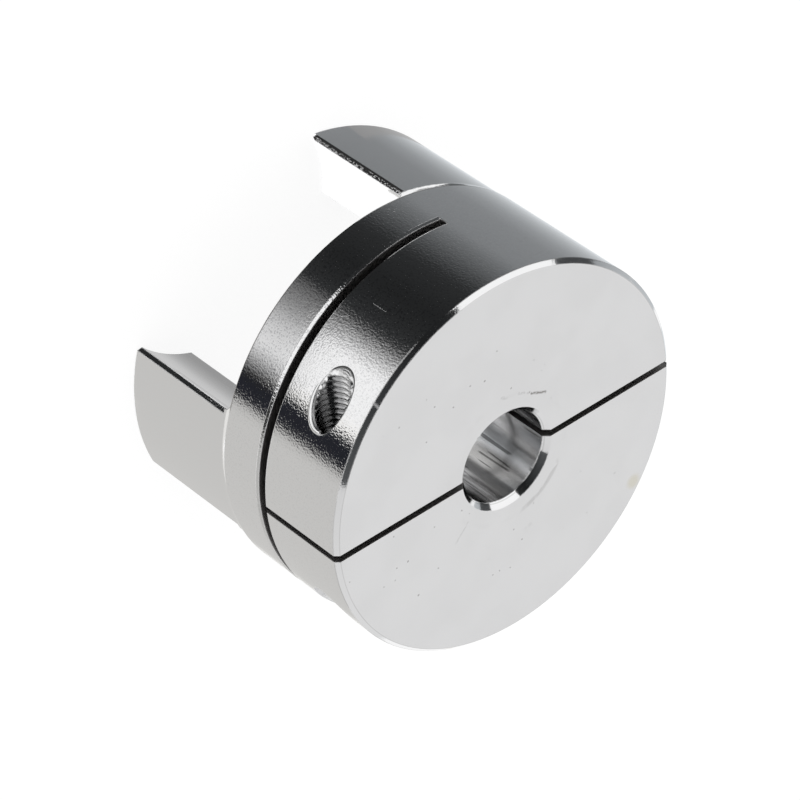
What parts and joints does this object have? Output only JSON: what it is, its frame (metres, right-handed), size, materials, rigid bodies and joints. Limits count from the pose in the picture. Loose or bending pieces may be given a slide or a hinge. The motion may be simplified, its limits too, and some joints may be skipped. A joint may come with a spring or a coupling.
{
  "type": "jaw coupling hub",
  "caption": "Clamping hub of a jaw coupling: slit aluminium drum with a through bore, a saw slot behind the clamping ears, claws for an elastic spider, and a cross screw.",
  "frame": {"origin": "on the bore's axis, level with the claws' tips, which is the centre of the box's base", "axes": "+Z along the bore from the claws to the clamp face; X along the slit, with the screw's side at -X; the screw runs along Y, its head at -Y and its tapped hole open at +Y"},
  "size_m": [0.0508, 0.0508, 0.0379],
  "materials": {
    "bright_aluminium": "turned and milled, then tumbled bright",
    "black_steel": "black oxide, lightly oiled"
  },
  "bodies": {
    "root": {"hub": "bright_aluminium", "clamp_screw": "black_steel"}
  },
  "joints": []
}
